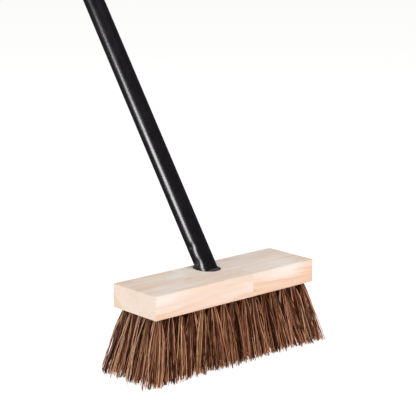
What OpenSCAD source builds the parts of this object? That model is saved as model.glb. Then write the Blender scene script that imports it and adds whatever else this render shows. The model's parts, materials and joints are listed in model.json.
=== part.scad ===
// Push broom: a glued wooden block with rows of stapled fibre tufts, and a
// steel tube handle that screws into the block at a slant.
// Millimetres. X runs along the block, -Y is the front (sweeping) side and Z is up.
// The origin is on the floor, under the middle of the block.

/* [Block] */
// Length of the block
block_length = 254; // [210:1:460]
// Depth of the block, front to back
block_depth = 76.2; // [74:0.1:90]
// Thickness of the block
block_thickness = 28.6; // [27:0.1:34]
// How far right of the middle the front staves are butted
front_butt_columns = 1.5; // [1.5, 2.5, 3.5]
// How far left of the middle the back staves are butted
back_butt_columns = 2.5; // [1.5, 2.5, 3.5]

/* [Bristles] */
// Length of bristle below the block
trim_length = 76.2; // [50:0.1:120]
// Distance between tufts along a row
tuft_pitch = 16.5; // [15.5:0.1:18]
// Distance between rows at the block
row_pitch = 14; // [13.5:0.1:14.5]
// Diameter of a drilled tuft hole
tuft_hole_d = 7.8; // [6:0.1:8]
// Depth of a drilled tuft hole
tuft_hole_depth = 14; // [12:0.1:15]
// Diameter of a tuft at the floor
tuft_tip_d = 14; // [9:0.1:15]
// How far the end tufts lean out along the block
end_flare = 19.5; // [15:0.1:25]
// How far the front and back rows lean out
row_flare = 11; // [8:0.1:14]

/* [Handle] */
// Lean of the handle from upright
handle_lean = 35; // [30:0.5:38]
// Outside diameter of the tube
tube_d = 25.4; // [22:0.1:27]
// Wall of the tube
tube_wall = 0.8; // [0.6:0.1:1.2]
// Length of the tube
tube_length = 1371.6; // [600:0.1:1600]
// Height of the cap above the tube
cap_height = 28; // [26:0.5:40]
// Diameter of the hanging hole through the cap
hang_hole_d = 8; // [5:0.1:10]

/* [Screw joint] */
// Diameter of the thread on the handle's tip
thread_d = 18.9; // [16:0.1:19]
// Advance of the thread in one turn
thread_pitch = 5.08; // [4:0.01:6]
// Turns of thread on the tip
thread_turns = 4; // [3:0.5:4]
// Diameter of the recess that the collar sits in
recess_d = 31.2; // [29.5:0.1:32]
// Depth of the recess along the handle
recess_depth = 10.7; // [8:0.1:12]
// Outside diameter of the collar
collar_d = 27.2; // [27.2:0.1:28.6]
// Thickness of the collar
collar_thickness = 4.1; // [3:0.1:5]

/* [Hidden] */
$fn = 64;
block_bottom = trim_length;
block_top = block_bottom + block_thickness;

// The staves of the block meet between the second and the third row.
row_count = 5;
middle_row = 3;
glue_y = -row_pitch / 2;
front_butt_x = front_butt_columns * tuft_pitch;
back_butt_x = -back_butt_columns * tuft_pitch;

// Columns of tufts fill the block. The second and fourth rows have one tuft more in the same
// length, so they are set over by half a pitch in the middle and level with the others at the ends.
side_columns = floor((block_length / 2 - 11) / tuft_pitch);
set_over = 0.5;
last_x = side_columns * tuft_pitch;
set_over_pitch = last_x / (side_columns + set_over);
last_y = (row_count - middle_row) * row_pitch;
spread_x = 1 + end_flare / last_x;
spread_y = 1 + row_flare / last_y;
tuft_gap = 0.1;
tuft_root_r = tuft_hole_d / 2 - tuft_gap;
tuft_root_length = tuft_hole_depth - 0.3;
tuft_waist = 0.5;

// A flat anchor is driven across the bottom of each hole, through the fold of the tuft.
anchor_width = tuft_hole_d + 1.6;
anchor_thickness = 0.6;
anchor_height = 2.4;
anchor_fold = 1.3;

// Places along the handle are measured from where its axis meets the block's top.
hole_middle_y = -2.8;
handle_y = hole_middle_y + block_thickness * tan(handle_lean);
hole_run = 90;
thread_clearance = 0.05;
thread_r = thread_d / 2;
thread_hole_r = thread_r + thread_clearance;
seat_gap = 0.05;
collar_low = -recess_depth + seat_gap;
tube_low = collar_low + collar_thickness + seat_gap;
tube_high = tube_low + tube_length;
tip_low = -recess_depth - thread_turns * thread_pitch;
tip_chamfer = 1.6;
collar_chamfer = 0.8;

tube_r = tube_d / 2;
tube_bore_r = tube_r - tube_wall;
plug_r = tube_bore_r - 0.05;
tip_plug_length = 46;
plug_core_r = 6.5;
plug_floor = 12;

// Two pairs of punched crimps hold the tip in the tube.
crimp_heights = [6.6, 28.4];
crimp_angles = [-84, 96];
crimp_r = 6;
crimp_depth = 1.3;

cap_r = tube_r - 0.1;
cap_plug_length = 32;
cap_core_r = 8;
cap_rim = 1.2;

// Colours
STEEL_BLACK = [0.06, 0.06, 0.07];
PLASTIC_BLACK = [0.10, 0.10, 0.11];
PLASTIC_GREY = [0.20, 0.20, 0.22];
WOOD_PALE = [0.88, 0.78, 0.66];
WOOD_WARM = [0.88, 0.73, 0.60];
FIBRE_BROWN = [0.40, 0.25, 0.15];
ANCHOR_STEEL = [0.62, 0.62, 0.62];

// Row 1 is the front row and row 5 the back one. Column 0 is the middle one, and a row that
// is set over has columns at -0.5 and 0.5 instead.
function is_set_over(row) = row % 2 == 0;
function root_x(column, row) = column * (is_set_over(row) ? set_over_pitch : tuft_pitch);
function root_y(row) = (row - middle_row) * row_pitch;

// The slanted handle hole and its recess take the place of the middle tufts behind the front row.
function has_tuft(column, row) = abs(column) > set_over || row == 1;

function row_columns(row) =
    let (last = is_set_over(row) ? side_columns + set_over : side_columns)
    [for (column = [-last:last]) if (has_tuft(column, row)) column];

function columns_between(row, x_low, x_high) =
    [for (column = row_columns(row))
        if (root_x(column, row) > x_low && root_x(column, row) < x_high) column];

// Draws its children with +Z up the handle, from where its axis meets the block's top.
module on_handle_axis() {
    translate([0, handle_y, block_top])
        rotate([-handle_lean, 0, 0])
            children();
}

// Draws its children with -Z down one tuft, from the hole's mouth to the tip.
module along_tuft(column, row) {
    x = root_x(column, row);
    y = root_y(row);
    out_x = x * (spread_x - 1);
    out_y = y * (spread_y - 1);
    slant = norm([out_x, out_y, trim_length]);
    translate([x, y, block_bottom])
        rotate([asin(out_y / slant), -atan(out_x / trim_length), 0])
            children();
}

module anchor() {
    translate([-anchor_width / 2, -anchor_thickness / 2,
               tuft_hole_depth - anchor_fold - anchor_height])
        cube([anchor_width, anchor_thickness, anchor_height]);
}

module tuft_hole() {
    translate([0, 0, -tuft_hole_depth])
        cylinder(h = 2 * tuft_hole_depth, d = tuft_hole_d);
    anchor();
}

// A tuft is a straight bundle in its hole and fans out as a cone below the block.
module tuft() {
    reach = 1.15 * trim_length;
    growth = (tuft_tip_d / 2 - tuft_root_r) / trim_length;
    difference() {
        union() {
            translate([0, 0, -tuft_waist])
                cylinder(h = tuft_root_length + tuft_waist, r = tuft_root_r);
            translate([0, 0, -tuft_waist - reach])
                cylinder(h = reach, r1 = tuft_root_r + growth * reach, r2 = tuft_root_r);
        }
        anchor();
    }
}

module tuft_row(row) {
    room = 2 * block_length;
    color(FIBRE_BROWN)
        for (column = row_columns(row))
            intersection() {
                along_tuft(column, row) tuft();
                translate([-room / 2, -room / 2, 0]) cube([room, room, block_top]);
            }
}

module anchor_row(row) {
    color(ANCHOR_STEEL)
        for (column = row_columns(row))
            along_tuft(column, row) anchor();
}

module handle_hole() {
    translate([0, 0, -hole_run])
        cylinder(h = hole_run, r = thread_hole_r);
    translate([0, 0, -recess_depth])
        cylinder(h = hole_run, d = recess_d);
}

// One stave fills the box between two ends and two sides, less the holes drilled in it. The
// holes are drilled after gluing, so one on a butt joint is cut half in each stave.
module stave(x_low, x_high, y_low, y_high) {
    reach = tuft_pitch / 2;
    difference() {
        translate([x_low, y_low, block_bottom])
            cube([x_high - x_low, y_high - y_low, block_thickness]);
        if (x_low < 0 && x_high > 0)
            on_handle_axis() handle_hole();
        for (row = [1:row_count])
            if (root_y(row) > y_low && root_y(row) < y_high)
                for (column = columns_between(row, x_low - reach, x_high + reach))
                    along_tuft(column, row) tuft_hole();
    }
}

module front_stave_left() {
    color(WOOD_WARM)
        stave(-block_length / 2, front_butt_x, -block_depth / 2, glue_y);
}

module front_stave_right() {
    color(WOOD_PALE)
        stave(front_butt_x, block_length / 2, -block_depth / 2, glue_y);
}

module back_stave_left() {
    color(WOOD_WARM)
        stave(-block_length / 2, back_butt_x, glue_y, block_depth / 2);
}

module back_stave_right() {
    color(WOOD_PALE)
        stave(back_butt_x, block_length / 2, glue_y, block_depth / 2);
}

// Balls at the crimps, for the dents in the tube and the pockets in the plug.
module crimp_balls(r) {
    for (height = crimp_heights, angle = crimp_angles)
        rotate([0, 0, angle])
            translate([0, -(tube_r + crimp_r - crimp_depth), height])
                sphere(r = r);
}

module handle_tube() {
    color(STEEL_BLACK)
        on_handle_axis()
            difference() {
                union() {
                    difference() {
                        translate([0, 0, tube_low]) cylinder(h = tube_length, r = tube_r);
                        translate([0, 0, tube_low - 1])
                            cylinder(h = tube_length + 2, r = tube_bore_r);
                    }
                    intersection() {
                        crimp_balls(crimp_r + tube_wall);
                        translate([0, 0, tube_low])
                            cylinder(h = tip_plug_length, r = tube_bore_r + tube_wall / 2);
                    }
                }
                crimp_balls(crimp_r);
            }
}

// The tip is a moulded plug in the tube and a threaded shank below it.
module threaded_tip() {
    color(PLASTIC_BLACK)
        on_handle_axis()
            difference() {
                rotate_extrude()
                    polygon([[0, tip_low],
                             [thread_r - tip_chamfer, tip_low],
                             [thread_r, tip_low + tip_chamfer],
                             [thread_r, tube_low],
                             [plug_r, tube_low],
                             [plug_r, tube_low + tip_plug_length],
                             [plug_core_r, tube_low + tip_plug_length],
                             [plug_core_r, tube_low + plug_floor],
                             [0, tube_low + plug_floor]]);
                crimp_balls(crimp_r + tube_wall + thread_clearance);
            }
}

// The collar is a loose ring between the end of the tube and the floor of the recess.
module handle_collar() {
    color(PLASTIC_GREY)
        on_handle_axis()
            translate([0, 0, collar_low])
                rotate_extrude()
                    polygon([[thread_hole_r, 0],
                             [collar_d / 2, 0],
                             [collar_d / 2, collar_thickness - collar_chamfer],
                             [collar_d / 2 - collar_chamfer, collar_thickness],
                             [thread_hole_r, collar_thickness]]);
}

// The cap is a plug in the top of the tube with a round head and a hanging hole across it.
module hang_cap() {
    color(PLASTIC_BLACK)
        on_handle_axis()
            translate([0, 0, tube_high])
                difference() {
                    union() {
                        translate([0, 0, -cap_plug_length])
                            cylinder(h = cap_plug_length + cap_rim, r = plug_r);
                        cylinder(h = cap_height - cap_r, r = cap_r);
                        translate([0, 0, cap_height - cap_r]) sphere(r = cap_r);
                    }
                    translate([0, 0, -cap_plug_length - 1])
                        cylinder(h = cap_plug_length - 2, r = cap_core_r);
                    translate([-tube_d, 0, cap_height / 2])
                        rotate([0, 90, 0])
                            cylinder(h = 2 * tube_d, d = hang_hole_d);
                }
}

handle_tube();
threaded_tip();
hang_cap();
handle_collar();
front_stave_left();
front_stave_right();
back_stave_left();
back_stave_right();
tuft_row(1);  // tuft_row_1
tuft_row(2);  // tuft_row_2
tuft_row(3);  // tuft_row_3
tuft_row(4);  // tuft_row_4
tuft_row(5);  // tuft_row_5
anchor_row(1);  // anchor_row_1
anchor_row(2);  // anchor_row_2
anchor_row(3);  // anchor_row_3
anchor_row(4);  // anchor_row_4
anchor_row(5);  // anchor_row_5
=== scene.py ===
import json
import math

import bmesh
import bpy
import numpy as np
from mathutils import Matrix, Vector


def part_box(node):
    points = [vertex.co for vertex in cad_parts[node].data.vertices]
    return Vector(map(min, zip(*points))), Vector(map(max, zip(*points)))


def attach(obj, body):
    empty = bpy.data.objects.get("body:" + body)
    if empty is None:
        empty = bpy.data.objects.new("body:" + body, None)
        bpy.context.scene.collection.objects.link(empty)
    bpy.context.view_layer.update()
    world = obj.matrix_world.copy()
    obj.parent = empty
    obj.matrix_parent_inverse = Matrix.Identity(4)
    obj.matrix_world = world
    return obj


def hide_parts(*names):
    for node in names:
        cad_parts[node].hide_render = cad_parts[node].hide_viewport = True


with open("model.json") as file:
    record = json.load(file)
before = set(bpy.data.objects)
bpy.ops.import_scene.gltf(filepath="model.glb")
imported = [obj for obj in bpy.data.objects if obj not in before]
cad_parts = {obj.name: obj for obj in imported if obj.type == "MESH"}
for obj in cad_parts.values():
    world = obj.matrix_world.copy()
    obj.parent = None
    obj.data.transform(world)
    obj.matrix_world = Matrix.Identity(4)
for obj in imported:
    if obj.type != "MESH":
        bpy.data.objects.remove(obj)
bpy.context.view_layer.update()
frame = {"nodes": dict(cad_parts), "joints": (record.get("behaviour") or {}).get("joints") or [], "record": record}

MM = 0.001
SEED = 458

# ---------------------------------------------------------------------------
# Sizes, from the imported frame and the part's driving dimensions
# ---------------------------------------------------------------------------

JOINTS = {joint["name"]: joint for joint in frame["joints"]}
MOUNTS = {mount["name"]: mount for mount in frame["record"]["mounts"]}

# Where the handle's axis meets the block's top, and the way up the handle.
HANDLE_FOOT = Vector(JOINTS["head_unscrew"]["pos_m"])
HANDLE_UP = -Vector(JOINTS["head_unscrew"]["axis"])
HANDLE_LEAN = math.atan2(HANDLE_UP.y, HANDLE_UP.z)
ON_HANDLE = Matrix.Translation(HANDLE_FOOT) @ Matrix.Rotation(-HANDLE_LEAN, 4, "X")

TUBE_R = MOUNTS["handle_grip"]["dims"]["r_mm"] * MM
TUBE_LENGTH = MOUNTS["handle_grip"]["dims"]["length_mm"] * MM
TUBE_WALL = 0.8 * MM
TUBE_BORE_R = TUBE_R - TUBE_WALL
SEAT_GAP = 0.05 * MM
PLUG_R = TUBE_BORE_R - SEAT_GAP
THREAD_PITCH = 5.08 * MM
THREAD_TURNS = 4
THREAD_HOLE_R = 9.5 * MM
THREAD_CREST_R = 9.4 * MM
THREAD_ROOT_R = 8.0 * MM
RECESS_R = 15.6 * MM
RECESS_DEPTH = 10.7 * MM
COLLAR_R = 13.6 * MM
COLLAR_THICKNESS = 4.1 * MM
COLLAR_LOW = -RECESS_DEPTH + SEAT_GAP
TUBE_LOW = COLLAR_LOW + COLLAR_THICKNESS + SEAT_GAP
TUBE_HIGH = TUBE_LOW + TUBE_LENGTH
TIP_LOW = -RECESS_DEPTH - THREAD_TURNS * THREAD_PITCH
TIP_PLUG_LENGTH = 46 * MM
CAP_INSET = 0.1 * MM
CAP_R = TUBE_R - CAP_INSET
CAP_HEIGHT = 28 * MM
CAP_PLUG_LENGTH = 32 * MM
HANG_HOLE_R = MOUNTS["hang_hole"]["dims"]["r_mm"] * MM

CRIMP_HEIGHTS = (6.6 * MM, 28.4 * MM)
CRIMP_ANGLES = (math.radians(-84), math.radians(96))
CRIMP_PUNCH_DEPTH = 0.6 * MM
CRIMP_PUNCH_CORE_R = 1.0 * MM
CRIMP_PUNCH_R = 2.8 * MM
CRIMP_HOLLOW_DEPTH = 0.6 * MM
CRIMP_HOLLOW_R = 9.0 * MM

STAVES = ("front_stave_left", "front_stave_right", "back_stave_left", "back_stave_right")
# The corners of the whole block, and the length of bristle under it.
BLOCK_LOW = Vector([min(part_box(name)[0][axis] for name in STAVES) for axis in range(3)])
BLOCK_HIGH = Vector([max(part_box(name)[1][axis] for name in STAVES) for axis in range(3)])
TRIM_LENGTH = BLOCK_LOW.z

# Row 1 is the front row. Column 0 is the middle one, with SIDE_COLUMNS on each side of it.
ROW_COUNT = 5
MIDDLE_ROW = 3
SIDE_COLUMNS = 7
SET_OVER = 0.5
TUFT_PITCH = 16.5 * MM
ROW_PITCH = 14 * MM
TUFT_HOLE_R = 3.9 * MM
TUFT_HOLE_DEPTH = 14 * MM
# How much further out than its root the outermost tuft ends, along and across the block.
END_FLARE = 19.5 * MM
ROW_FLARE = 11 * MM
LAST_X = SIDE_COLUMNS * TUFT_PITCH
SET_OVER_PITCH = LAST_X / (SIDE_COLUMNS + SET_OVER)
SPREAD_X = 1 + END_FLARE / LAST_X
SPREAD_Y = 1 + ROW_FLARE / ((ROW_COUNT - MIDDLE_ROW) * ROW_PITCH)


# ---------------------------------------------------------------------------
# Camera
# ---------------------------------------------------------------------------

VIEW_AZIMUTH = math.radians(-42.313)
VIEW_ELEVATION = math.radians(12.646)
VIEW_ROLL = math.radians(0.293)
VIEW_DISTANCE = 1.6611
VIEW_AIM_RIGHT = -0.0099
VIEW_AIM_UP = 0.1030
LENS = 119.66
SENSOR = 36.0
CLIP_NEAR = 0.05
CLIP_FAR = 100


def make_camera():
    """The camera looks at a point set right and up from the middle of the block's underside."""
    back = Vector((math.sin(VIEW_AZIMUTH) * math.cos(VIEW_ELEVATION),
                   -math.cos(VIEW_AZIMUTH) * math.cos(VIEW_ELEVATION),
                   math.sin(VIEW_ELEVATION)))
    level = Vector((math.cos(VIEW_AZIMUTH), math.sin(VIEW_AZIMUTH), 0))
    upright = back.cross(level)
    right = level * math.cos(VIEW_ROLL) + upright * math.sin(VIEW_ROLL)
    up = upright * math.cos(VIEW_ROLL) - level * math.sin(VIEW_ROLL)
    place = Vector((0, 0, TRIM_LENGTH)) + right * VIEW_AIM_RIGHT + up * VIEW_AIM_UP
    place += back * VIEW_DISTANCE
    data = bpy.data.cameras.new("camera")
    data.lens = LENS
    data.sensor_width = SENSOR
    data.clip_start = CLIP_NEAR
    data.clip_end = CLIP_FAR
    camera = bpy.data.objects.new("camera", data)
    turn = Matrix((right, up, back)).transposed()
    camera.matrix_world = Matrix.Translation(place) @ turn.to_4x4()
    bpy.context.scene.collection.objects.link(camera)
    bpy.context.scene.camera = camera


make_camera()


# ---------------------------------------------------------------------------
# Mesh helpers
# ---------------------------------------------------------------------------

ROUND_SEGMENTS = 96


def link_piece(mesh, name, material, body, replaced):
    """Adds a finished mesh to the scene as a piece that rides a body and stands for CAD nodes."""
    piece = bpy.data.objects.new(name, mesh)
    bpy.context.scene.collection.objects.link(piece)
    mesh.materials.clear()
    mesh.materials.append(material)
    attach(piece, body)
    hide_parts(*replaced)


def revolve(name, profile, segments, wobble=None, loop=False):
    """A mesh of rings round +Z. The profile is (radius, height) pairs, closed if loop is true.
    wobble(angle, height) is added to the radius. Angle 0 points along -Y and 90 along +X."""
    angles = np.arange(segments) * (2 * math.pi / segments)
    verts, rings = [], []
    for radius, height in profile:
        if radius == 0:
            rings.append([len(verts)] * segments)
            verts.append((0, 0, height))
            continue
        rings.append(list(range(len(verts), len(verts) + segments)))
        for angle in angles:
            r = radius + (wobble(angle, height) if wobble else 0)
            verts.append((r * math.sin(angle), -r * math.cos(angle), height))
    faces = []
    pairs = list(zip(rings, rings[1:])) + ([(rings[-1], rings[0])] if loop else [])
    for low, high in pairs:
        for i in range(segments):
            j = (i + 1) % segments
            corners = [low[i], low[j], high[j], high[i]]
            faces.append(list(dict.fromkeys(corners)))
    if not loop:
        for ring in (rings[0], rings[-1]):
            if len(set(ring)) > 1:
                faces.append(ring)
    mesh = bpy.data.meshes.new(name)
    mesh.from_pydata(verts, [], faces)
    shape = bmesh.new()
    shape.from_mesh(mesh)
    bmesh.ops.recalc_face_normals(shape, faces=shape.faces)
    shape.to_mesh(mesh)
    shape.free()
    return mesh


def smooth_by_angle(mesh, degrees):
    """Smooth shading, but crisp where faces meet at more than the angle."""
    mesh.polygons.foreach_set("use_smooth", [True] * len(mesh.polygons))
    mesh.set_sharp_from_angle(angle=math.radians(degrees))


def cut(mesh, cutters):
    """Takes the cutters away from a mesh with exact booleans, and returns the new mesh."""
    target = bpy.data.objects.new("cut_target", mesh)
    bpy.context.scene.collection.objects.link(target)
    tools = []
    for cutter in cutters:
        tool = bpy.data.objects.new("cut_tool", cutter)
        bpy.context.scene.collection.objects.link(tool)
        tools.append(tool)
        modifier = target.modifiers.new("cut", "BOOLEAN")
        modifier.operation = "DIFFERENCE"
        modifier.solver = "EXACT"
        modifier.object = tool
    shown = target.evaluated_get(bpy.context.evaluated_depsgraph_get())
    result = bpy.data.meshes.new_from_object(shown)
    for helper in [target] + tools:
        bpy.data.objects.remove(helper)
    return result


def spaced(start, stop, step):
    """Evenly spaced values from start to stop, no more than a step apart."""
    count = max(1, math.ceil(abs(stop - start) / step))
    return [start + (stop - start) * i / count for i in range(count + 1)]


def smoothstep(low, high, value):
    """0 up to low, 1 from high on, and a smooth rise between."""
    share = min(1.0, max(0.0, (value - low) / (high - low)))
    return share * share * (3 - 2 * share)


# ---------------------------------------------------------------------------
# Material helpers
# ---------------------------------------------------------------------------


class Shader:
    """A node material whose nodes are added one call at a time."""

    def __init__(self, name):
        self.material = bpy.data.materials.new(name)
        self.material.use_nodes = True
        self.tree = self.material.node_tree
        self.surface = self.tree.nodes["Principled BSDF"]

    def set(self, socket, value):
        """Links a socket to another one, or gives it a plain value."""
        if isinstance(value, bpy.types.NodeSocket):
            self.tree.links.new(value, socket)
        else:
            socket.default_value = value

    def node(self, kind, inputs=None, **settings):
        """Adds a node. inputs are its sockets by name or number, settings its own properties."""
        made = self.tree.nodes.new("ShaderNode" + kind)
        for key, value in settings.items():
            setattr(made, key, value)
        for key, value in (inputs or {}).items():
            self.set(made.inputs[key], value)
        return made

    def surface_inputs(self, **values):
        """Sets the surface shader's sockets, with _ for each space in their names."""
        for key, value in values.items():
            self.set(self.surface.inputs[key.replace("_", " ")], value)

    def place(self, scale=(1, 1, 1), offset=(0, 0, 0)):
        """Object coordinates in metres, moved and then scaled."""
        where = self.node("TexCoord").outputs["Object"]
        moved = self.node("VectorMath", {0: where, 1: offset}, operation="ADD")
        return self.node("VectorMath", {0: moved.outputs[0], 1: scale},
                         operation="MULTIPLY").outputs[0]

    def noise(self, vector, scale, detail, roughness=0.5):
        return self.node("TexNoise", {"Vector": vector, "Scale": scale, "Detail": detail,
                                      "Roughness": roughness}).outputs["Fac"]

    def math(self, operation, a, b=0.0, clamp=False):
        return self.node("Math", {0: a, 1: b}, operation=operation, use_clamp=clamp).outputs[0]

    def swing(self, noise, size):
        """A noise turned into a swing about zero."""
        return self.math("MULTIPLY", self.math("SUBTRACT", noise, 0.5), size)

    def remap(self, value, low, high, to_low=0.0, to_high=1.0):
        """A smooth rise from to_low at low to to_high at high, and level outside them."""
        return self.node("MapRange", {"Value": value, "From Min": low, "From Max": high,
                                      "To Min": to_low, "To Max": to_high},
                         interpolation_type="SMOOTHSTEP").outputs["Result"]

    def ramp(self, value, stops):
        """Colours blended between stops, which are (position, colour) pairs."""
        made = self.node("ValToRGB", {"Fac": value})
        elements = made.color_ramp.elements
        while len(elements) < len(stops):
            elements.new(0.5)
        for element, (position, color) in zip(elements, stops):
            element.position = position
            element.color = (*color, 1)
        return made.outputs["Color"]

    def mix(self, share, a, b):
        """Colour a at share 0 and b at share 1. Sockets 6 and 7 are the Mix node's colour inputs."""
        made = self.node("Mix", data_type="RGBA", blend_type="MIX")
        self.set(made.inputs[0], share)
        self.set(made.inputs[6], a if isinstance(a, bpy.types.NodeSocket) else (*a, 1))
        self.set(made.inputs[7], b if isinstance(b, bpy.types.NodeSocket) else (*b, 1))
        return made.outputs[2]

    def bump(self, height, strength, distance):
        made = self.node("Bump", {"Height": height, "Strength": strength,
                                  "Distance": distance})
        self.surface_inputs(Normal=made.outputs["Normal"])


ENAMEL_DARK = (0.0050, 0.0036, 0.0052)
ENAMEL_LIGHT = (0.0080, 0.0058, 0.0083)
# Painted shade for the ring of each punch mark, and a painted reflection for its middle.
ENAMEL_PUNCH_SHADE = (0.0015, 0.0010, 0.0015)
ENAMEL_PUNCH_REFLECTION = (0.150, 0.115, 0.125)
ENAMEL_ROUGHNESS = (0.26, 0.30)
RUB_ROUGHNESS = 0.02
PUNCHED_ROUGHNESS = 0.35


def enamel_material():
    """Glossy black stoving enamel, a little uneven, with faint rub marks, and matt where the crimps
    are punched, with painted shade round each punch mark and a painted reflection in its middle."""
    s = Shader("black_enamel")
    where = s.node("TexCoord").outputs["Object"]
    cloud = s.noise(s.place(), 60, 4)
    rubs = s.noise(s.place((900, 900, 60)), 1, 2, 0.6)
    color = s.mix(s.remap(cloud, 0.35, 0.7), ENAMEL_DARK, ENAMEL_LIGHT)
    rough = s.math("ADD", s.remap(cloud, 0.3, 0.7, *ENAMEL_ROUGHNESS),
                   s.remap(rubs, 0.62, 0.8, 0.0, RUB_ROUGHNESS))
    for height in CRIMP_HEIGHTS:
        for angle in CRIMP_ANGLES:
            out = Vector((math.sin(angle), -math.cos(angle), 0)) * TUBE_R
            middle = ON_HANDLE @ (out + Vector((0, 0, height)))
            off = s.node("VectorMath", {0: where, 1: middle}, operation="DISTANCE").outputs[1]
            punched = s.remap(off, 1.05 * CRIMP_PUNCH_R, 0.70 * CRIMP_PUNCH_R)
            # Painted reflection: the middle of each punch mark is painted a lighter grey.
            punch_reflection = s.remap(off, 1.4 * CRIMP_PUNCH_CORE_R, 0.7 * CRIMP_PUNCH_CORE_R)
            # Painted shade: the ring round each punch mark is painted nearly black, and it is also made rougher.
            color = s.mix(punched, color, ENAMEL_PUNCH_SHADE)
            color = s.mix(punch_reflection, color, ENAMEL_PUNCH_REFLECTION)
            rough = s.math("ADD", rough, s.math("MULTIPLY", punched, PUNCHED_ROUGHNESS))
    s.surface_inputs(Base_Color=color, Specular_IOR_Level=0.5, Roughness=rough)
    s.bump(s.noise(s.place(), 260, 1), 0.012, 0.3 * MM)
    return s.material


ROUGHNESS_SPREAD = 0.12


def plastic_material(name, dark, light, roughness):
    """Moulded plastic with a fine spark texture."""
    s = Shader(name)
    grain = s.noise(s.place(), 2600, 2)
    cloud = s.noise(s.place(), 90, 3)
    s.surface_inputs(Base_Color=s.mix(s.remap(cloud, 0.3, 0.7), dark, light),
                     Roughness=s.remap(cloud, 0.3, 0.7, roughness, roughness + ROUGHNESS_SPREAD))
    s.bump(grain, 0.25, 0.2 * MM)
    return s.material


WIRE_DARK = (0.42, 0.42, 0.43)
WIRE_LIGHT = (0.66, 0.66, 0.66)


def wire_material():
    """Drawn flat wire, with fine marks along it."""
    s = Shader("anchor_wire")
    marks = s.noise(s.place((300, 4000, 4000)), 1, 2)
    s.surface_inputs(Base_Color=s.mix(marks, WIRE_DARK, WIRE_LIGHT),
                     Metallic=1.0, Roughness=s.remap(marks, 0.3, 0.7, 0.3, 0.5))
    return s.material


PALE = (0.915, 0.830, 0.765)
CREAM = (0.865, 0.705, 0.590)
PINK = (0.830, 0.580, 0.450)
ORANGE = (0.800, 0.480, 0.310)
PORE = (0.600, 0.420, 0.300)
END_GRAIN = (0.905, 0.750, 0.615)
RING_BEND = 13 * MM
RING_RIPPLE = 7 * MM
RINGS_PER_METRE = 210
END_GRAIN_SHARE = 0.82
HEARTWOOD_SHARE = 0.40
HEARTWOOD_RAGGED = 10 * MM
FAR_WARMTH_REACH = 40 * MM


def wood_material(name, heart, slope, warmth, shift, low_warmth=0.0, far_warmth=0.0,
                  corner=None):
    """Bare pale wood with its grain along X. heart is the (y, z) of the tree's middle in metres,
    slope how fast it drifts along X, warmth how pink-orange the late wood is, low_warmth and
    far_warmth how much warmer the stave is below and at the block's right end, and corner a
    (y, z, size) edge with orange heartwood in it."""
    s = Shader(name)
    where = s.node("TexCoord").outputs["Object"]
    axes = s.node("SeparateXYZ", {0: where})
    x, y, z = axes.outputs[0], axes.outputs[1], axes.outputs[2]
    drift = s.noise(s.place((9, 14, 14), (shift, 0, 0)), 1, 2)
    wander = s.noise(s.place((26, 60, 60), (shift, 0, 0)), 1, 3)
    bend = s.swing(drift, RING_BEND)
    ripple = s.swing(wander, RING_RIPPLE)
    ring_y = s.math("ADD", s.math("SUBTRACT", y, heart[0]), s.math("MULTIPLY", x, slope[0]))
    ring_z = s.math("ADD", s.math("SUBTRACT", z, heart[1]), s.math("MULTIPLY", x, slope[1]))
    radius = s.math("SQRT", s.math("ADD", s.math("MULTIPLY", ring_y, ring_y),
                                   s.math("MULTIPLY", ring_z, ring_z)))
    radius = s.math("ADD", s.math("ADD", radius, bend), ripple)
    across = s.node("CombineXYZ", {0: s.math("MULTIPLY", radius, RINGS_PER_METRE),
                                   1: s.math("MULTIPLY", x, 5), 2: shift}).outputs[0]
    late = s.remap(s.noise(across, 1, 2, 0.55), 0.42, 0.66)
    fibre = s.noise(s.place((22, 900, 900), (shift, 0, 0)), 1, 3, 0.6)
    pores = s.noise(s.place((70, 2600, 2600), (shift, 0, 0)), 1, 1)
    patches = s.noise(s.place((7, 26, 26), (shift, 0.3, 0)), 1, 3)
    low = s.remap(z, BLOCK_HIGH.z - 4 * MM, BLOCK_LOW.z + 2 * MM, 0.0, low_warmth)
    far = s.remap(x, BLOCK_HIGH.x - FAR_WARMTH_REACH, BLOCK_HIGH.x, 0.0, far_warmth)
    under = s.math("ADD", low, far)

    color = s.mix(s.math("ADD", s.remap(patches, 0.36, 0.60), s.math("MULTIPLY", under, 0.5),
                         clamp=True), PALE, CREAM)
    color = s.mix(s.remap(fibre, 0.30, 0.70, 0.0, 0.25), color, PINK)
    share = s.math("ADD", s.remap(patches, 0.36, 0.66, 0.20, warmth), under)
    color = s.mix(s.math("MULTIPLY", late, share, clamp=True), color, PINK)
    blush = s.math("ADD", s.remap(patches, 0.54, 0.76, 0.0, 0.55 * warmth),
                   s.math("MULTIPLY", under, 0.55))
    blush = s.math("MULTIPLY", blush, s.remap(late, 0.0, 1.0, 0.65, 1.0), clamp=True)
    color = s.mix(blush, color, ORANGE)
    facing = s.node("SeparateXYZ", {0: s.node("TexCoord").outputs["Normal"]}).outputs[0]
    end_grain = s.remap(s.math("ABSOLUTE", facing), 0.75, 0.95)
    speckle = s.noise(s.place(offset=(shift, 0, 0)), 420, 3)
    mottle = s.mix(s.remap(speckle, 0.35, 0.65), CREAM, END_GRAIN)
    color = s.mix(s.math("MULTIPLY", end_grain, END_GRAIN_SHARE), color, mottle)
    if corner:
        corner_y, corner_z, size = corner
        inside = s.math("ADD", s.math("SUBTRACT", y, corner_y), s.math("SUBTRACT", corner_z, z))
        edge = s.math("ADD", inside, s.swing(wander, HEARTWOOD_RAGGED))
        heartwood = s.remap(edge, -size - 1 * MM, -size + 2 * MM, 0, HEARTWOOD_SHARE)
        color = s.mix(heartwood, color, ORANGE)
    color = s.mix(s.remap(pores, 0.66, 0.80, 0, 0.28), color, PORE)
    s.surface_inputs(Base_Color=color, Specular_IOR_Level=0.22,
                     Roughness=s.remap(fibre, 0.3, 0.7, 0.64, 0.80))
    s.bump(s.math("ADD", fibre, s.math("MULTIPLY", late, 0.25)), 0.30, 0.3 * MM)
    return s.material


UV_NAME = "OFBake"
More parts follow.
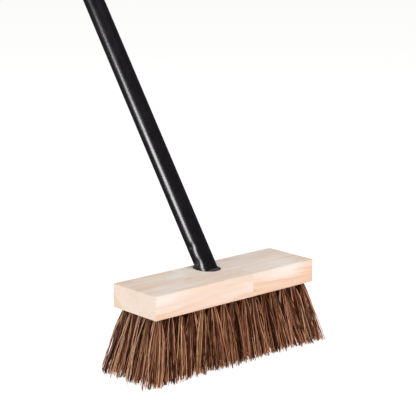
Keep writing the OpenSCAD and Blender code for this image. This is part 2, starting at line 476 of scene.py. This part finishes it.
# The UV map has one strip for each tone that a fibre can have.
FIBRE_TONES = 32
FIBRE_REDDISH = [(0.00, (0.024, 0.005, 0.003)),
                 (0.25, (0.130, 0.038, 0.019)),
                 (0.55, (0.370, 0.130, 0.070)),
                 (0.80, (0.650, 0.285, 0.170)),
                 (1.00, (0.860, 0.500, 0.330))]
FIBRE_GOLDEN = [(0.00, (0.022, 0.007, 0.002)),
                (0.25, (0.118, 0.041, 0.015)),
                (0.55, (0.345, 0.140, 0.058)),
                (0.80, (0.600, 0.300, 0.145)),
                (1.00, (0.820, 0.515, 0.290))]
FIBRE_ROOT_SHADE = (0.022, 0.007, 0.004)


def fibre_material():
    """Plant fibre, with painted shade that darkens it towards the root, under the block. The UV map
    gives each fibre its tone across and its length along."""
    s = Shader("plant_fibre")
    uv = s.node("UVMap", uv_map=UV_NAME).outputs["UV"]

    def uv_noise(scale, detail):
        where = s.node("VectorMath", {0: uv, 1: scale}, operation="MULTIPLY").outputs[0]
        return s.noise(where, 1, detail)

    across, along = s.node("SeparateXYZ", {0: uv}).outputs[:2]
    tone = uv_noise((90, 2.2, 1), 2)
    speck = uv_noise((260, 55, 1), 3)
    share = s.math("ADD", across, s.swing(tone, 0.42))
    share = s.math("ADD", share, s.swing(speck, 0.22), clamp=True)
    hue = uv_noise((61, 0.7, 1), 1)
    color = s.mix(s.remap(hue, 0.40, 0.60), s.ramp(share, FIBRE_REDDISH),
                  s.ramp(share, FIBRE_GOLDEN))
    # Painted shade: each fibre is darkened towards its root, where it goes up under the block.
    color = s.mix(s.remap(along, 0.04, 0.30, 0.55, 0.0), color, FIBRE_ROOT_SHADE)
    s.surface_inputs(Base_Color=color, Roughness=s.remap(speck, 0.3, 0.7, 0.50, 0.70),
                     Specular_IOR_Level=0.15)
    return s.material


ENAMEL = enamel_material()
BLACK_PLASTIC = plastic_material("black_plastic", (0.018, 0.018, 0.020), (0.030, 0.030, 0.033),
                                 roughness=0.38)
GREY_PLASTIC = plastic_material("grey_plastic", (0.046, 0.039, 0.044), (0.072, 0.063, 0.069),
                                roughness=0.50)
WIRE = wire_material()
FIBRE = fibre_material()
WOODS = {
    "front_stave_left": wood_material("wood_front_left", heart=(-0.062, 0.062), slope=(0.02, -0.03),
                                      warmth=0.75, shift=0.00, low_warmth=0.70),
    "front_stave_right": wood_material("wood_front_right", heart=(-0.058, 0.128),
                                       slope=(-0.03, 0.04), warmth=1.2, shift=1.70,
                                       low_warmth=1.40, far_warmth=0.80),
    "back_stave_left": wood_material("wood_back_left", heart=(0.020, 0.035), slope=(0.02, 0.02),
                                     warmth=1.45, shift=3.10, corner=(0.0381, 0.0762, 0.019)),
    "back_stave_right": wood_material("wood_back_right", heart=(0.060, 0.020), slope=(0.01, -0.02),
                                      warmth=0.35, shift=4.90),
}


# ---------------------------------------------------------------------------
# Handle: tube, tip, collar and cap
# ---------------------------------------------------------------------------

TUBE_SEGMENTS = 128
TUBE_EDGE = 0.25 * MM
CRIMPED_STEP = 0.7 * MM
PLAIN_STEP = 40 * MM
# Faces that meet at more than this many degrees keep a crisp edge.
TUBE_SHARP = 35
MOULDED_SHARP = 40


def crimp(angle, height):
    """How far the punched crimps push the tube's wall in, as a change of radius: a small punch
    mark in the middle of a wide shallow hollow."""
    change = 0
    for at_height in CRIMP_HEIGHTS:
        for at_angle in CRIMP_ANGLES:
            turn = (angle - at_angle + math.pi) % (2 * math.pi) - math.pi
            off = math.hypot(turn * TUBE_R, height - at_height)
            change -= CRIMP_PUNCH_DEPTH * (1 - smoothstep(CRIMP_PUNCH_CORE_R, CRIMP_PUNCH_R, off))
            change -= CRIMP_HOLLOW_DEPTH * (1 - smoothstep(0, CRIMP_HOLLOW_R, off))
    return change


def make_tube():
    """The open tube, with short rings where it is crimped and long ones above."""
    crimped_to = TUBE_LOW + TIP_PLUG_LENGTH
    heights = spaced(TUBE_LOW + TUBE_EDGE, crimped_to, CRIMPED_STEP)
    heights += spaced(crimped_to, TUBE_HIGH - TUBE_EDGE, PLAIN_STEP)[1:]
    profile = [(TUBE_R - TUBE_EDGE, TUBE_LOW)]
    profile += [(TUBE_R, height) for height in heights]
    profile += [(TUBE_R - TUBE_EDGE, TUBE_HIGH), (TUBE_BORE_R, TUBE_HIGH)]
    profile += [(TUBE_BORE_R, height) for height in reversed(heights)]
    profile += [(TUBE_BORE_R, TUBE_LOW)]
    mesh = revolve("painted_tube", profile, TUBE_SEGMENTS, crimp, loop=True)
    smooth_by_angle(mesh, TUBE_SHARP)
    mesh.transform(ON_HANDLE)
    link_piece(mesh, "painted_tube", ENAMEL, "handle", ["handle_tube"])


# Where in each pitch the ridge rises and falls, and how far from its ends it fades.
THREAD_RISE = (0.14, 0.30)
THREAD_FALL = (0.66, 0.82)
THREAD_START = 2.0 * MM
THREAD_RUN_OUT = 1.0 * MM


def thread(angle, height):
    """The screw's ridge: trapezoids that climb one pitch each turn, and fade at both ends."""
    if height > -RECESS_DEPTH or height < TIP_LOW:
        return 0
    phase = (height / THREAD_PITCH + angle / (2 * math.pi)) % 1.0
    ridge = smoothstep(*THREAD_RISE, phase) - smoothstep(*THREAD_FALL, phase)
    fade = smoothstep(0, THREAD_START, height - TIP_LOW)
    fade *= smoothstep(0, THREAD_RUN_OUT, -RECESS_DEPTH - height)
    return ridge * fade * (THREAD_CREST_R - THREAD_ROOT_R)


THREAD_STEP = 0.2 * MM
COLLAR_SEAT_STEP = 1 * MM
PLUG_STEP = 0.8 * MM
TIP_CHAMFER = (1.2 * MM, 0.8 * MM)
PLUG_CHAMFER = (1.5 * MM, 0.2 * MM)


def make_tip():
    """The moulded tip: a screw below the recess's floor, a plain neck and the crimped plug."""
    def surface(angle, height):
        return thread(angle, height) if height < -RECESS_DEPTH else crimp(angle, height)

    plug_top = TUBE_LOW + TIP_PLUG_LENGTH
    plug_end = plug_top + PLUG_CHAMFER[1]
    neck_gap = 0.02 * MM
    screw = spaced(TIP_LOW + TIP_CHAMFER[1], -RECESS_DEPTH - THREAD_STEP, THREAD_STEP)
    neck = spaced(-RECESS_DEPTH, TUBE_LOW - neck_gap, COLLAR_SEAT_STEP)
    plug = spaced(TUBE_LOW, plug_top, PLUG_STEP)
    profile = [(0, TIP_LOW), (THREAD_ROOT_R - TIP_CHAMFER[0], TIP_LOW)]
    profile += [(THREAD_ROOT_R, height) for height in screw]
    profile += [(THREAD_CREST_R, height) for height in neck]
    profile += [(PLUG_R, height) for height in plug]
    profile += [(PLUG_R - PLUG_CHAMFER[0], plug_end), (0, plug_end)]
    mesh = revolve("screw_tip", profile, ROUND_SEGMENTS, surface)
    smooth_by_angle(mesh, MOULDED_SHARP)
    mesh.transform(ON_HANDLE)
    link_piece(mesh, "screw_tip", BLACK_PLASTIC, "handle", ["threaded_tip"])


def rounded(corners, radius, steps=5):
    """A closed outline with its corners rounded by arcs, drawn as quadratic curves."""
    points = []
    count = len(corners)
    for i, corner in enumerate(corners):
        here = Vector(corner)
        before = (Vector(corners[i - 1]) - here).normalized() * radius
        after = (Vector(corners[(i + 1) % count]) - here).normalized() * radius
        for step in range(steps + 1):
            t = step / steps
            points.append(tuple(here + before * (1 - t) ** 2 + after * t ** 2))
    return points


COLLAR_ROUNDING = 0.7 * MM


def make_collar():
    """The loose ring round the tip, between the foot of the tube and the wood."""
    bore = THREAD_HOLE_R
    top = COLLAR_LOW + COLLAR_THICKNESS
    outline = [(bore, COLLAR_LOW), (COLLAR_R, COLLAR_LOW), (COLLAR_R, top), (bore, top)]
    mesh = revolve("collar_ring", rounded(outline, COLLAR_ROUNDING), ROUND_SEGMENTS, loop=True)
    smooth_by_angle(mesh, MOULDED_SHARP)
    mesh.transform(ON_HANDLE)
    link_piece(mesh, "collar_ring", GREY_PLASTIC, "collar", ["handle_collar"])


CAP_LEAD_IN = (1 * MM, 2 * MM)
CAP_EDGE = 0.4 * MM
CAP_STEP = 1.5 * MM
DOME_STEPS = 16
HANG_HOLE_SEGMENTS = 48
HANG_HOLE_FLARE = 0.9 * MM


def make_cap():
    """The domed cap with its plug, and a hole through it along X that opens out at both ends."""
    shoulder = CAP_HEIGHT - CAP_R
    profile = [(0, -CAP_PLUG_LENGTH), (PLUG_R - CAP_LEAD_IN[0], -CAP_PLUG_LENGTH),
               (PLUG_R, -CAP_PLUG_LENGTH + CAP_LEAD_IN[1]), (PLUG_R, 0), (CAP_R - CAP_EDGE, 0)]
    profile += [(CAP_R, height) for height in spaced(CAP_EDGE, shoulder, CAP_STEP)]
    for step in range(1, DOME_STEPS):
        turn = step / DOME_STEPS * math.pi / 2
        profile.append((CAP_R * math.cos(turn), shoulder + CAP_R * math.sin(turn)))
    profile.append((0, CAP_HEIGHT))
    body = revolve("cap", profile, ROUND_SEGMENTS)
    reach = 1.2 * CAP_R
    straight = CAP_R - 1.2 * HANG_HOLE_FLARE
    wide = HANG_HOLE_R + 4 * HANG_HOLE_FLARE
    hole = revolve("hang_hole", [(wide, -reach), (HANG_HOLE_R, -straight),
                                 (HANG_HOLE_R, straight), (wide, reach)], HANG_HOLE_SEGMENTS)
    lay_along_x = Matrix.Rotation(math.pi / 2, 4, "Y")
    hole.transform(Matrix.Translation((0, 0, CAP_HEIGHT / 2)) @ lay_along_x)
    mesh = cut(body, [hole])
    smooth_by_angle(mesh, TUBE_SHARP)
    mesh.transform(ON_HANDLE @ Matrix.Translation((0, 0, TUBE_HIGH)))
    link_piece(mesh, "end_cap", BLACK_PLASTIC, "handle", ["hang_cap"])


make_tube()
make_tip()
make_collar()
make_cap()


# ---------------------------------------------------------------------------
# Wooden block
# ---------------------------------------------------------------------------

TUFT_HOLE_SEGMENTS = 24
HANDLE_HOLE_REACH = 90 * MM
BORE_LIP = 0.3 * MM
STAVE_SOFTNESS = 0.8 * MM
STAVE_BEVEL_STEPS = 4
ON_OUTSIDE = 0.1 * MM


def row_columns(row):
    """Rows 2 and 4 have one tuft more in the same length, so they are set over by half a pitch.
    The handle's hole takes the middle tufts of all rows but the first."""
    last = SIDE_COLUMNS + SET_OVER if row % 2 == 0 else SIDE_COLUMNS
    columns = np.arange(-last, last + SET_OVER)
    return [column for column in columns if abs(column) > SET_OVER or row == 1]


def tuft_root(column, row):
    """The middle of a tuft where it leaves the block."""
    pitch = SET_OVER_PITCH if row % 2 == 0 else TUFT_PITCH
    return Vector((column * pitch, (row - MIDDLE_ROW) * ROW_PITCH, TRIM_LENGTH))


def tuft_tip(column, row):
    """The middle of a tuft on the floor. The tufts fan out from the middle of the block."""
    root = tuft_root(column, row)
    return Vector((root.x * SPREAD_X, root.y * SPREAD_Y, 0))


TUFTS = [(column, row) for row in range(1, ROW_COUNT + 1) for column in row_columns(row)]


def tuft_hole_cutter(tufts):
    """One mesh of round holes, each drilled along its tuft."""
    shape = bmesh.new()
    for column, row in tufts:
        root = tuft_root(column, row)
        way = (root - tuft_tip(column, row)).normalized()
        turn = way.to_track_quat("Z", "Y").to_matrix().to_4x4()
        bmesh.ops.create_cone(shape, cap_ends=True, segments=TUFT_HOLE_SEGMENTS,
                              radius1=TUFT_HOLE_R, radius2=TUFT_HOLE_R,
                              depth=2 * TUFT_HOLE_DEPTH, matrix=Matrix.Translation(root) @ turn)
    mesh = bpy.data.meshes.new("tuft_holes")
    shape.to_mesh(mesh)
    shape.free()
    return mesh


def handle_hole_cutter():
    """The slanted hole for the screw, with a small lip and the recess above it."""
    profile = [(THREAD_HOLE_R, -HANDLE_HOLE_REACH), (THREAD_HOLE_R, -RECESS_DEPTH - BORE_LIP),
               (THREAD_HOLE_R + BORE_LIP, -RECESS_DEPTH), (RECESS_R, -RECESS_DEPTH),
               (RECESS_R, HANDLE_HOLE_REACH)]
    mesh = revolve("handle_hole", profile, ROUND_SEGMENTS)
    mesh.transform(ON_HANDLE)
    return mesh


def make_stave(name):
    """A sawn length of wood: sharp where it is glued to its neighbours, softened elsewhere.
    A hole on a joint is drilled half in each stave."""
    low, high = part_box(name)
    shape = bmesh.new()
    bmesh.ops.create_cube(shape, size=1)
    for vert in shape.verts:
        for axis in range(3):
            vert.co[axis] = high[axis] if vert.co[axis] > 0 else low[axis]

    def outside(face):
        middle, normal = face.calc_center_median(), face.normal
        axis = max(range(3), key=lambda i: abs(normal[i]))
        limits = BLOCK_LOW[axis], BLOCK_HIGH[axis]
        return min(abs(middle[axis] - limit) for limit in limits) < ON_OUTSIDE

    shape.normal_update()
    soft = [edge for edge in shape.edges if all(outside(face) for face in edge.link_faces)]
    bmesh.ops.bevel(shape, geom=soft, offset=STAVE_SOFTNESS, segments=STAVE_BEVEL_STEPS,
                    profile=0.5, affect="EDGES", clamp_overlap=True)
    mesh = bpy.data.meshes.new(name)
    shape.to_mesh(mesh)
    shape.free()
    reach = TUFT_PITCH / 2
    tufts = [(column, row) for column, row in TUFTS
             if low.x - reach < tuft_root(column, row).x < high.x + reach
             and low.y < tuft_root(column, row).y < high.y]
    cutters = [tuft_hole_cutter(tufts)]
    if low.x < 0 < high.x:
        cutters.append(handle_hole_cutter())
    mesh = cut(mesh, cutters)
    link_piece(mesh, "wood_" + name, WOODS[name], "head", [name])


for stave in STAVES:
    make_stave(stave)


# ---------------------------------------------------------------------------
# Bristles
# ---------------------------------------------------------------------------

FIBRES_PER_TUFT = 84
FIBRE_RINGS = 14
FIBRE_SIDES = 5
FIBRE_R = 0.56 * MM
ROOT_INSIDE = 5 * MM
FLAT = np.array((1, 1, 0))

# Where the tips go: the half size of each tuft's rectangle, and how far tips stray from it.
TUFT_STRAY = 1.2 * MM
TIP_CELL = np.array((8.0, 8.6, 0)) * MM
TIP_SCATTER = np.array((4.4, 2.8, 0)) * MM
TIP_TURN = 0.35
END_SPLAY = 1.2
WILD_CHANCE = 0.06
WILD_SCATTER = 1.8
INWARD_CHANCE = 0.7
# The tufts beside the handle's hole lean towards each other, to close the gap under it.
GAP_COLUMNS = 2
GAP_CLOSING = 7 * MM
# How far above the floor fibres end, and how much higher the short ones do.
TRIM_UNEVEN = 0.6 * MM
SHORT_CHANCE = 0.12
SHORT_BY_MM = (1.0, 7.0)

# The shape of a fibre along its length.
FAN_POWER = 1.7
BOW = 1.9 * MM
BOW_POWER = 0.7
WAVE_COUNT = 3
WAVES = (0.6, 2.6)
WAVE_SIZE = 0.65 * MM
KINK = 0.22 * MM

# The thickness and section of a fibre, and the cut at its tip.
THICKNESS_SPREAD = 0.34
THICKNESS_LIMITS = (0.5, 1.8)
ROOT_THICKNESS = 1.08
TAPER = 0.30
KNOT_SIZE = 0.10
KNOT_WAVES = (3, 9)
KNOT_PHASE = (0, 6)
FLATTENING = (0.65, 1.0)
TWIST = 1.2
CUT_SLOPE = 0.5
ABOVE_FLOOR = 0.05 * MM

# How fibres share out the tones, and the part of its strip of the UV map that each one covers.
TONE_BETA = (0.75, 0.90)
STRIP_MARGIN = 0.1
STRIP_SHARE = 0.8
UV_LOW = 0.02
UV_HIGH = 0.98


def inward(random, offset, side):
    """Turns most offsets that point out of the broom on one side back into it."""
    if offset * side > 0 and random.random() < INWARD_CHANCE:
        return -offset
    return offset


def fibre_line(random, column, row, tip):
    """The middle line of one fibre, from inside its hole to where it was trimmed off. Fibres
    leave the hole side by side and spread quickly at first, then run nearly straight. The tips
    of a tuft cover a rectangle, so that all the tips together fill the broom's footprint."""
    root = np.array(tuft_root(column, row))
    end_side = np.sign(column) if abs(column) >= SIDE_COLUMNS else 0
    row_side = (row - MIDDLE_ROW) // 2
    share = math.sqrt(random.random())
    around = random.uniform(0, 2 * math.pi)
    spot = share * (TUFT_HOLE_R - FIBRE_R) * np.array([math.cos(around), math.sin(around), 0])
    turned = around + random.normal(0, TIP_TURN)
    toward = np.array([math.cos(turned), math.sin(turned), 0])
    fan = share * toward / np.abs(toward).max() * TIP_CELL
    if fan[0] * end_side > 0:
        fan[0] *= END_SPLAY
    scatter = random.normal(0, 1, 3) * TIP_SCATTER
    if random.random() < WILD_CHANCE:
        scatter *= WILD_SCATTER
    scatter[0] = inward(random, scatter[0], end_side)
    scatter[1] = inward(random, scatter[1], row_side)
    height = abs(random.normal(0, TRIM_UNEVEN))
    if random.random() < SHORT_CHANCE:
        height += random.uniform(*SHORT_BY_MM) * MM
    below = np.linspace(-ROOT_INSIDE, TRIM_LENGTH - height, FIBRE_RINGS)[:, None]
    along = below / TRIM_LENGTH
    spread = 1 - (1 - along.clip(0, 1)) ** FAN_POWER
    line = root + (tip - root) * along + spot * (1 - spread) + (fan + scatter) * spread
    free = along.clip(0, 1)
    line = line + np.sin(free ** BOW_POWER * math.pi) * random.normal(0, BOW, 3) * FLAT
    for _ in range(WAVE_COUNT):
        waves = random.uniform(*WAVES)
        phase = random.uniform(0, 2 * math.pi)
        size = abs(random.normal(0, WAVE_SIZE))
        way = random.normal(0, size, 3) * FLAT
        line = line + np.sin(free * waves * math.pi + phase) * free * way
    return line + random.normal(0, KINK, line.shape) * FLAT * np.minimum(free * 4, 1)


def fibre_paths(random, tufts):
    """The middle lines of every fibre of some tufts, as an array of fibres by rings by XYZ."""
    lines = []
    for column, row in tufts:
        tip = np.array(tuft_tip(column, row)) + random.normal(0, TUFT_STRAY, 3) * FLAT
        if abs(column) < GAP_COLUMNS and row > 1:
            tip[0] -= math.copysign(GAP_CLOSING, column)
        lines += [fibre_line(random, column, row, tip) for _ in range(FIBRES_PER_TUFT)]
    return np.array(lines)


def fibre_mesh(random, name, lines):
    """Thin tapering tubes with uneven sides round the lines, in one mesh."""
    fibres, rings, _ = lines.shape
    sides = FIBRE_SIDES
    thick = FIBRE_R * np.exp(random.normal(0, THICKNESS_SPREAD, fibres)).clip(*THICKNESS_LIMITS)
    along = np.linspace(0, 1, rings)
    taper = ROOT_THICKNESS - TAPER * along
    knots = 1 + KNOT_SIZE * np.sin(along[None, :] * random.uniform(*KNOT_WAVES, (fibres, 1))
                                   + random.uniform(*KNOT_PHASE, (fibres, 1)))
    radius = thick[:, None] * taper[None, :] * knots
    flat = random.uniform(*FLATTENING, fibres)
    start = random.uniform(0, 2 * math.pi, fibres)
    twist = start[:, None] + random.normal(0, TWIST, fibres)[:, None] * along[None, :]
    forward = np.gradient(lines, axis=1)
    forward /= np.linalg.norm(forward, axis=2, keepdims=True)
    side_a = np.cross(forward, np.array([1.0, 0.0, 0.0]))
    side_a /= np.linalg.norm(side_a, axis=2, keepdims=True)
    side_b = np.cross(forward, side_a)
    turn = np.arange(sides) * (2 * math.pi / sides)
    angle = twist[:, :, None] + turn[None, None, :]
    out_a = np.cos(angle) * radius[:, :, None]
    out_b = np.sin(angle) * (radius * flat[:, None])[:, :, None]
    points = (lines[:, :, None, :] + out_a[..., None] * side_a[:, :, None, :]
              + out_b[..., None] * side_b[:, :, None, :])
    cut_slope = random.normal(0, CUT_SLOPE, (fibres, 2))
    last = points[:, -1] - lines[:, None, -1]
    points[:, -1, :, 2] += last[..., 0] * cut_slope[:, :1] + last[..., 1] * cut_slope[:, 1:]
    points[..., 2] = points[..., 2].clip(ABOVE_FLOOR, None)

    ring = np.arange(sides)
    following = (ring + 1) % sides
    step = np.arange(rings - 1)[:, None] * sides
    quads = np.stack([step + ring, step + sides + ring, step + sides + following,
                      step + following], axis=-1).reshape(-1, 4)
    base = (np.arange(fibres) * rings * sides)[:, None]
    walls = (base[..., None] + quads[None]).reshape(-1, 4)
    ends = np.concatenate([base + ring[None, :],
                           base + (rings - 1) * sides + ring[None, ::-1]], axis=0)

    mesh = bpy.data.meshes.new(name)
    mesh.from_pydata(points.reshape(-1, 3), [], walls.tolist() + ends.tolist())
    mesh.polygons.foreach_set("use_smooth", [True] * len(walls) + [False] * len(ends))

    tone = (random.beta(*TONE_BETA, fibres) * FIBRE_TONES).astype(int).clip(0, FIBRE_TONES - 1)
    strip = 1 / FIBRE_TONES
    left = tone * strip + STRIP_MARGIN * strip
    corner_side = np.stack([ring, ring, ring + 1, ring + 1], axis=-1) / sides
    corner_ring = np.stack([step + 0 * ring, step + sides + 0 * ring, step + sides + 0 * ring,
                            step + 0 * ring], axis=-1) / sides / (rings - 1)
    u = left[:, None, None, None] + STRIP_SHARE * strip * corner_side[None, None]
    u = np.broadcast_to(u, (fibres, rings - 1, sides, 4))
    v = np.broadcast_to(UV_LOW + (UV_HIGH - UV_LOW) * corner_ring[None],
                        (fibres, rings - 1, sides, 4))
    end_u = np.broadcast_to((left + STRIP_SHARE / 2 * strip)[:, None], (fibres, sides))
    uv = np.concatenate([np.stack([u, v], axis=-1).reshape(-1, 2)]
                        + [np.stack([end_u, np.full_like(end_u, end_v)], axis=-1).reshape(-1, 2)
                           for end_v in (UV_LOW, UV_HIGH)])
    layer = mesh.uv_layers.new(name=UV_NAME)
    layer.data.foreach_set("uv", uv.astype(np.float32).ravel())
    mesh.validate()
    return mesh


def make_bristles():
    """One piece of loose fibres for each row. Each row has random numbers of its own."""
    for row in range(1, ROW_COUNT + 1):
        random = np.random.default_rng(SEED + row)
        tufts = [tuft for tuft in TUFTS if tuft[1] == row]
        mesh = fibre_mesh(random, f"bristles_row_{row}", fibre_paths(random, tufts))
        link_piece(mesh, f"bristles_row_{row}", FIBRE, "head",
                   [f"tuft_row_{row}"])


make_bristles()

for row in range(1, ROW_COUNT + 1):
    anchors = frame["nodes"][f"anchor_row_{row}"]
    anchors.data.materials.clear()
    anchors.data.materials.append(WIRE)


# ---------------------------------------------------------------------------
# Floor and light
# ---------------------------------------------------------------------------

FLOOR_HALF = 20
FLOOR_COLOR = (0.38, 0.357, 0.34, 1)
FLOOR_GLOW = 0.80
WHITE = (1, 1, 1, 1)


def make_floor():
    """A wide pale floor that glows a little, so that it stays nearly white as far as it goes."""
    mesh = bpy.data.meshes.new("floor")
    corners = [(FLOOR_HALF * x, FLOOR_HALF * y, 0) for x, y in ((-1, -1), (1, -1), (1, 1), (-1, 1))]
    mesh.from_pydata(corners, [], [(0, 1, 2, 3)])
    s = Shader("floor")
    s.surface_inputs(Base_Color=FLOOR_COLOR, Roughness=0.9, Specular_IOR_Level=0.0,
                     Emission_Color=WHITE, Emission_Strength=FLOOR_GLOW)
    mesh.materials.append(s.material)
    floor = bpy.data.objects.new("floor", mesh)
    bpy.context.scene.collection.objects.link(floor)
    floor.visible_glossy = False


def area_light(name, place, target, size, power, color=(1, 1, 1), mirrored=True, soft=True):
    """mirrored says whether the lamp shows in glossy surfaces, soft whether it lights matt ones."""
    data = bpy.data.lights.new(name, "AREA")
    data.shape = "RECTANGLE"
    data.size, data.size_y = size
    data.energy = power
    data.color = color
    light = bpy.data.objects.new(name, data)
    light.location = place
    way = Vector(target) - Vector(place)
    light.rotation_mode = "QUATERNION"
    light.rotation_quaternion = way.to_track_quat("-Z", "Y")
    light.visible_glossy = mirrored
    light.visible_diffuse = soft
    bpy.context.scene.collection.objects.link(light)


FILL_COLOR = (0.93, 0.98, 1, 1)
FILL_STRENGTH = 0.45
MIRRORED_COLOR = (1, 0.97, 1, 1)
MIRRORED_STRENGTH = 0.10


def make_world():
    """A pale studio: white to the camera, dim in reflections, and a cool fill for the rest."""
    world = bpy.data.worlds.new("studio")
    bpy.context.scene.world = world
    world.use_nodes = True
    tree = world.node_tree
    path = tree.nodes.new("ShaderNodeLightPath")
    shown = tree.nodes["Background"]
    shown.inputs["Color"].default_value = FILL_COLOR
    shown.inputs["Strength"].default_value = FILL_STRENGTH
    for ray, color, strength in (("Is Glossy Ray", MIRRORED_COLOR, MIRRORED_STRENGTH),
                                 ("Is Camera Ray", WHITE, 1.0)):
        other = tree.nodes.new("ShaderNodeBackground")
        other.inputs["Color"].default_value = color
        other.inputs["Strength"].default_value = strength
        mix = tree.nodes.new("ShaderNodeMixShader")
        tree.links.new(path.outputs[ray], mix.inputs[0])
        tree.links.new(shown.outputs[0], mix.inputs[1])
        tree.links.new(other.outputs[0], mix.inputs[2])
        shown = mix
    tree.links.new(shown.outputs[0], tree.nodes["World Output"].inputs["Surface"])


make_floor()
make_world()

# The strip is what the handle mirrors as its one bright line, for about 350 mm above the block.
STRIP_WAY = Vector((-0.972, 0.131, 0.195))
STRIP_DISTANCE = 1.2
STRIP_AIM = HANDLE_FOOT + HANDLE_UP * 0.15
BLOCK_AIM = (0, 0, 0.1)
SIDE_BOX = (1.6, 1.6)
TOP_BOX = (2.0, 2.0)
area_light("handle_strip", STRIP_AIM + STRIP_WAY * STRIP_DISTANCE, STRIP_AIM, (0.55, 0.42),
           power=17, soft=False)
area_light("left_box", (-2.4, 0.2, 0.9), BLOCK_AIM, SIDE_BOX, power=17, mirrored=False)
area_light("front_box", (0.6, -2.4, 0.9), BLOCK_AIM, SIDE_BOX, power=28,
           color=(1.0, 0.97, 0.96), mirrored=False)
area_light("top_box", (0.0, 0.2, 3.0), (0, 0, 0), TOP_BOX, power=30, color=(0.88, 0.95, 1.0))
bpy.context.scene.view_settings.view_transform = "Standard"
